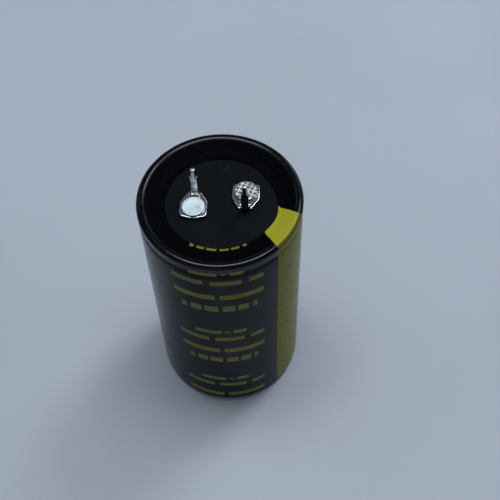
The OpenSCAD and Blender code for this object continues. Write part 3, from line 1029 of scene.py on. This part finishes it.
@dataclass
class Terminal:
    """Stamped blank that is bent up into a bowed pin. Sizes in millimetres, from the rivet's axis."""

    sign: str
    half_turn: bool
    bend_r: float = 0.3
    pin_reach: float = 3.62
    turn: float = 20.0
    pin_pitch: float = 10.0
    pin_top: float = 7.32
    plate_w: float = 5.0
    end_r: float = 4.2
    end_shift: float = -2.25
    end_half: float = 1.5
    corner_r: float = 0.9
    corner_rise: float = 1.17
    plate_side: float = 1.4
    ear_span: float = 2.4
    slit_w: float = 0.15
    slit_l: float = 0.6
    pin_w: float = 1.4
    tip_w: float = 0.8
    tip_l: float = 2.0
    tip_chamfer: float = 0.1
    shank_gap: float = 0.05
    bow: float = 0.15
    bow_l: float = 4.1
    edge: float = 0.16

    def place(self) -> Matrix:
        """Finds the terminal's place on its rivet.

        Returns:
            The matrix that puts it there.
        """
        t = math.radians(self.turn)
        x, y = self.pin_reach * math.sin(t) - self.pin_pitch / 2, -self.pin_reach * math.cos(t)
        whole = Matrix.Rotation(math.pi if self.half_turn else 0.0, 4, "Z")
        return whole @ Matrix.Translation(Vector((x, y, SEAL_Z)) * MM) @ Matrix.Rotation(t, 4, "Z")

    def bend_at(self) -> float:
        """Returns where the bend starts along the blank."""
        return self.pin_reach - SHEET / 2 - self.bend_r

    def straight_from(self) -> float:
        """Returns where the pin's straight part starts along the blank."""
        return self.bend_at() + (self.bend_r + SHEET / 2) * math.pi / 2

    def shoulder(self) -> float:
        """Returns the height at which the pin starts to narrow."""
        return self.pin_top - self.tip_l - (self.pin_w - self.tip_w) / 2

    def blank(self) -> Profile:
        """Draws the outline of the flat blank.

        Returns:
            Points (across, along).
        """
        bend, rise = self.bend_at(), self.straight_from() - SHEET - self.bend_r
        plate, ear, pin, tip = (width / 2 for width in (self.plate_w, self.ear_span, self.pin_w, self.tip_w))
        turn = math.degrees(math.asin(self.end_half / self.end_r))
        half = arc((0.0, self.end_shift + self.end_r), self.end_r, -90, turn - 90, 8)
        corner = (plate - self.corner_r, self.end_shift + self.corner_rise)
        half += arc(corner, self.corner_r, turn - 90, 0, 8)
        slit, top = pin + self.slit_w, rise + self.pin_top
        half += [(plate, self.plate_side), (ear, bend + self.slit_l), (slit, bend + self.slit_l),
                 (slit, bend - self.slit_w), (pin, bend - self.slit_w), (pin, rise + self.shoulder()),
                 (tip, top - self.tip_l), (tip, top - self.tip_chamfer), (tip - self.tip_chamfer, top)]
        return half + [(-x, y) for x, y in half[:0:-1]]

    def fold(self, x: float, s: float, n: float) -> Triple:
        """Moves a point of the blank to where bending takes it.

        Args:
            x: Distance across the blank.
            s: Distance along it.
            n: Height above its underside.

        Returns:
            The point on the bent terminal.
        """
        bend, outer = self.bend_at(), self.bend_r + SHEET
        if abs(x) > (self.pin_w + self.slit_w) / 2 or s <= bend:
            return x, s, n
        if s < self.straight_from():
            a = (s - bend) / (self.bend_r + SHEET / 2)
            return x, bend + (outer - n) * math.sin(a), outer - (outer - n) * math.cos(a)
        z = outer + s - self.straight_from()
        t = min(1.0, (z - outer) / (self.shoulder() - outer))
        bow = self.bow * (1 - math.cos(math.tau * t)) / 2
        return x, bend + outer - n + bow, z

    def build(self, material: Material) -> Object:
        """Stamps, bends and dresses the terminal.

        Args:
            material: The tin's material.

        Returns:
            The finished terminal.
        """
        mesh = self._stamp()
        self._bend(mesh)
        piece = placed(f"snap_terminal_{self.sign}", mesh)
        weigh = piece.modifiers.new("weigh_normals", "WEIGHTED_NORMAL")
        weigh.weight = 90
        return dress(evaluated(piece), material, "tinned_terminal", f"terminal_{self.sign}")

    def _stamp(self) -> bpy.types.Mesh:
        """Cuts the blank and its hole out of the sheet and rounds their edges.

        Returns:
            The flat blank's mesh, in millimetres, with its middle at height 0.
        """
        outline = bpy.data.curves.new(f"snap_terminal_{self.sign}", "CURVE")
        outline.dimensions = "2D"
        outline.fill_mode = "BOTH"
        outline.extrude = SHEET / 2 - self.edge
        outline.bevel_depth = self.edge
        outline.bevel_resolution = 5
        outline.offset = -self.edge
        for loop in (self.blank(), arc((0.0, 0.0), SHANK_R + self.shank_gap, 0, 360, 39)[:-1]):
            spline = outline.splines.new("POLY")
            spline.points.add(len(loop) - 1)
            for point, (x, y) in zip(spline.points, loop):
                point.co = (x, y, 0.0, 1.0)
            spline.use_cyclic_u = True
        flat = placed(outline.name, outline)
        mesh = bpy.data.meshes.new_from_object(flat.evaluated_get(bpy.context.evaluated_depsgraph_get()))
        bpy.data.objects.remove(flat)
        bpy.data.curves.remove(outline)
        return mesh

    def _bend(self, mesh: bpy.types.Mesh) -> None:
        """Cuts the blank's mesh finely where it bends, bends it and puts it on its rivet.

        Args:
            mesh: The flat blank's mesh.
        """
        bm = bmesh.new()
        bm.from_mesh(mesh)
        bmesh.ops.remove_doubles(bm, verts=bm.verts, dist=1e-5)
        straight = self.straight_from()
        curved = np.linspace(self.bend_at(), straight, 13)
        for s in (*curved, *np.linspace(straight, straight + self.bow_l, 25)[1:]):
            bmesh.ops.bisect_plane(bm, geom=bm.verts[:] + bm.edges[:] + bm.faces[:], dist=1e-6,
                                   plane_co=(0, s, 0), plane_no=(0, 1, 0))
        matrix = self.place()
        for vert in bm.verts:
            x, s, n = vert.co
            vert.co = matrix @ (Vector(self.fold(x, s, n + SHEET / 2)) * MM)
        bmesh.ops.recalc_face_normals(bm, faces=bm.faces)
        bm.to_mesh(mesh)
        bm.free()
        mesh.shade_smooth()


@dataclass
class Rivet:
    """Rivet with its head, shank and clinched foot. Sizes in millimetres."""

    sign: str
    face: HeadFace
    place: Vector
    head_r: float = 2.15
    head_z: float = SEAL_Z + SHEET
    head_h: float = 0.55
    head_burr: float = 0.03
    edge_r: float = 0.2
    dish: float = 0.05
    washer_z: float = 50.42
    foot_r: float = 1.8
    foot_h: float = 0.6
    foot_edge: float = 0.2
    pitch: float = 0.86
    pit: float = 0.58
    pit_depth: float = 0.16
    pit_wall: float = 0.07
    skin: float = 0.02
    segments: int = 192
    rings: int = 44

    def outline(self) -> Profile:
        """Draws the rivet's outline, from the middle of its foot to the middle of its head.

        Returns:
            Points (radius, height).
        """
        foot, top, flat = self.washer_z - self.foot_h, self.head_z + self.head_h, self.head_r - self.edge_r
        made = [(0.0, foot)]
        made += arc((self.foot_r - self.foot_edge, foot + self.foot_edge), self.foot_edge, -90, 0, 6)
        made += [(self.foot_r, self.washer_z), (SHANK_R, self.washer_z), (SHANK_R, self.head_z),
                 (self.head_r - self.head_burr, self.head_z), (self.head_r, self.head_z + self.head_burr)]
        made += arc((flat, top - self.edge_r), self.edge_r, 0, 90, 8)
        dish = self.dish if self.face is HeadFace.SMOOTH else 0.0
        inward = [i / self.rings for i in range(1, self.rings + 1)]
        return made + [(flat * (1 - share), top - dish * ease(share)) for share in inward]

    def build(self) -> Object:
        """Turns the rivet, presses its face and dresses it.

        Returns:
            The finished rivet.
        """
        piece = lathe(f"head_rivet_{self.sign}", self.outline(), self.segments, closed=False)
        piece.data.transform(Matrix.Translation((self.place.x, self.place.y, 0.0)))
        material = RivetFinish(self.face, self.head_z + self.head_h).build()
        if self.face is HeadFace.SMOOTH:
            return dress(piece, material, "rivet_smooth", f"rivet_{self.sign}")
        return dress(self._waffle().apply(piece, material), material, "rivet_hatched", f"rivet_{self.sign}")

    def _waffle(self) -> Relief:
        """Makes the rule for the waffle: a square grid of pits pressed into the head.

        Returns:
            The rule.
        """
        g = Relief("waffle_head", pitch=self.pitch * MM, pit=self.pit * MM, depth=self.pit_depth * MM,
                   wall=self.pit_wall * MM, centre_x=self.place.x, centre_y=self.place.y,
                   top=(self.head_z + self.head_h - self.skin) * MM,
                   reach=(self.head_r - self.edge_r + 0.05) * MM)
        x, y, z = g.place()
        given = g.given
        sides = [g.math("SUBTRACT", x, given["centre_x"]), g.math("SUBTRACT", y, given["centre_y"])]
        whole_cells, half_cell = g.product(given["pitch"], 8.0), g.product(given["pitch"], 0.5)
        half_pit, depth = g.product(given["pit"], 0.5), given["depth"]
        for side in sides:
            cell = g.math("PINGPONG", g.total(side, whole_cells), half_cell)
            inside = g.math("DIVIDE", g.math("SUBTRACT", half_pit, cell), given["wall"], clamp=True)
            depth = g.product(depth, inside)
        at_top = g.math("GREATER_THAN", z, given["top"])
        near = g.math("LESS_THAN", g.vector("LENGTH", g.join(*sides, 0.0)), given["reach"])
        g.finish(g.join(0.0, 0.0, g.product(depth, at_top, near, -1.0)))
        return g


@dataclass
class PackedSolids:
    """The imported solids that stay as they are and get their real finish."""

    nodes: dict[str, Object]

    def build(self) -> None:
        """Dresses every solid that no other piece stands for."""
        drawn = DrawnFinish("drawn_can").build()
        foil = DrawnFinish("lead_foil", (0.74, 0.75, 0.77), (2.0, 2.0, 7.0), 0.3).build()
        finishes = {
            "can": (drawn, "can_aluminium"),
            "rubber_facing": (SealFinish().build(), "seal_rubber"),
            "phenolic_disc": (BoardFinish().build(), "phenolic_board"),
            "winding": (RollFinish().build(), "roll_paper"),
            "winding_tape": (TapeFinish().build(), "roll_tape"),
        }
        for name in ("washer_positive", "washer_negative", "tab_positive", "tab_negative"):
            finishes[name] = (foil, "inner_aluminium")
        for name, (material, slot) in finishes.items():
            node = self.nodes[name]
            if not node.material_slots:
                node.data.materials.append(material)
            for place in node.material_slots:
                place.material = material
            log.info("%s: %s", name, material.name)


@dataclass(frozen=True)
class Lamp:
    """Soft lamp: its place, with +Y away from the camera, size in metres, power and colour."""

    name: str
    at: Triple
    size: Point
    watts: float
    colour: Triple

    def hang(self, turn: Matrix, target: Vector) -> None:
        """Hangs the lamp so that it faces a point.

        Args:
            turn: Turn from the camera's heading to the object's axes.
            target: The point that it faces.
        """
        data = bpy.data.lights.new(self.name, "AREA")
        data.shape = "RECTANGLE"
        data.size, data.size_y = self.size
        data.energy = self.watts
        data.color = self.colour
        lamp = placed(self.name, data)
        lamp.location = turn @ Vector(self.at)
        lamp.rotation_mode = "QUATERNION"
        lamp.rotation_quaternion = (target - lamp.location).to_track_quat("-Z", "Y")


@dataclass
class Studio:
    """Floor with its sweep, soft lamps and the camera. Sizes in metres, angles in degrees."""

    floor_r: float = 0.45
    sweep_r: float = 0.35
    wall_h: float = 0.12
    segments: int = 96
    lens: float = 63.888
    sensor_w: float = 36.0
    eye: Triple = (0.005187, -0.095479, 0.185756)
    pitch: float = 57.109
    roll: float = -1.8985
    turn: float = 24.46
    target: Triple = (0.0, 0.0, 0.04)
    room_colour: Triple = (0.80, 0.88, 1.0)
    room_strength: float = 0.12
    lamps: tuple[Lamp, ...] = (
        Lamp("overhead", (0.0, 0.07, 0.66), (0.45, 0.19), 2.55, (0.95, 0.98, 1.0)),
        Lamp("right_side", (0.28, 0.27, 0.60), (0.14, 0.20), 1.2, (0.95, 0.97, 1.0)),
        Lamp("left_window", (-0.40, 0.43, 0.48), (0.14, 0.12), 0.05, (0.90, 0.95, 1.0)),
        Lamp("right_window", (0.34, 0.52, 0.34), (0.20, 0.18), 0.25, (0.90, 0.95, 1.0)),
        Lamp("front_fill", (-0.30, -0.82, 0.32), (1.0, 0.45), 4.0, (0.88, 0.93, 1.0)),
    )

    def build(self) -> None:
        """Makes the stage, the lamps, the world and the camera."""
        self._stage()
        turn = Matrix.Rotation(math.radians(self.turn), 3, "Z")
        for lamp in self.lamps:
            lamp.hang(turn, Vector(self.target))
        self._world()
        self._camera(turn)

    def _stage(self) -> None:
        """Makes the floor and the wall that it sweeps up into, all round."""
        outline = [(self.floor_r * i / 6, 0.0) for i in range(7)]
        outline += arc((self.floor_r, self.sweep_r), self.sweep_r, -90, 0, 16)[1:]
        outline += [(self.floor_r + self.sweep_r, self.sweep_r + self.wall_h)]
        floor = lathe("studio_floor", [(r / MM, z / MM) for r, z in outline], self.segments, closed=False)
        floor.data.flip_normals()
        floor.data.materials.append(StudioFinish().build())
        floor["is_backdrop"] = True

    def _world(self) -> None:
        """Sets the dim light of the room above the sweep."""
        world = bpy.data.worlds.new("room")
        bpy.context.scene.world = world
        world.use_nodes = True
        back = world.node_tree.nodes["Background"]
        back.inputs["Color"].default_value = (*self.room_colour, 1.0)
        back.inputs["Strength"].default_value = self.room_strength

    def _camera(self, turn: Matrix) -> None:
        """Sets the camera at the photograph's angle.

        Args:
            turn: Turn from the camera's heading to the object's axes.
        """
        data = bpy.data.cameras.new("photo_camera")
        data.sensor_width = self.sensor_w
        data.lens = self.lens
        data.clip_start, data.clip_end = 0.005, 10.0
        camera = placed("photo_camera", data)
        tilt = Matrix.Rotation(math.radians(90.0 - self.pitch), 3, "X")
        roll = Matrix.Rotation(math.radians(self.roll), 3, "Z")
        camera.rotation_mode = "QUATERNION"
        camera.rotation_quaternion = (turn @ tilt @ roll).to_quaternion()
        camera.location = turn @ Vector(self.eye)
        bpy.context.scene.camera = camera


def corners() -> list[list[float]]:
    """Returns the lowest and the highest corner of what is shown, as plain lists."""
    return [list(corner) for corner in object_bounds()]


def main() -> None:
    """Builds the studio and the capacitor's sub-assemblies in order."""
    logging.basicConfig(level=logging.INFO, format="%(name)s: %(message)s")
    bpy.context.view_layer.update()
    bpy.context.scene.view_settings.view_transform = "Standard"
    Studio().build()
    PackedSolids(frame["nodes"]).build()
    Sleeve().build()
    tin = TinFinish().build()
    terminals = [Terminal("positive", False), Terminal("negative", True)]
    for terminal in terminals:
        terminal.build(tin)
    for terminal, face in zip(terminals, HeadFace):
        Rivet(terminal.sign, face, terminal.place().translation).build()


if __name__ == "__main__":
    main()
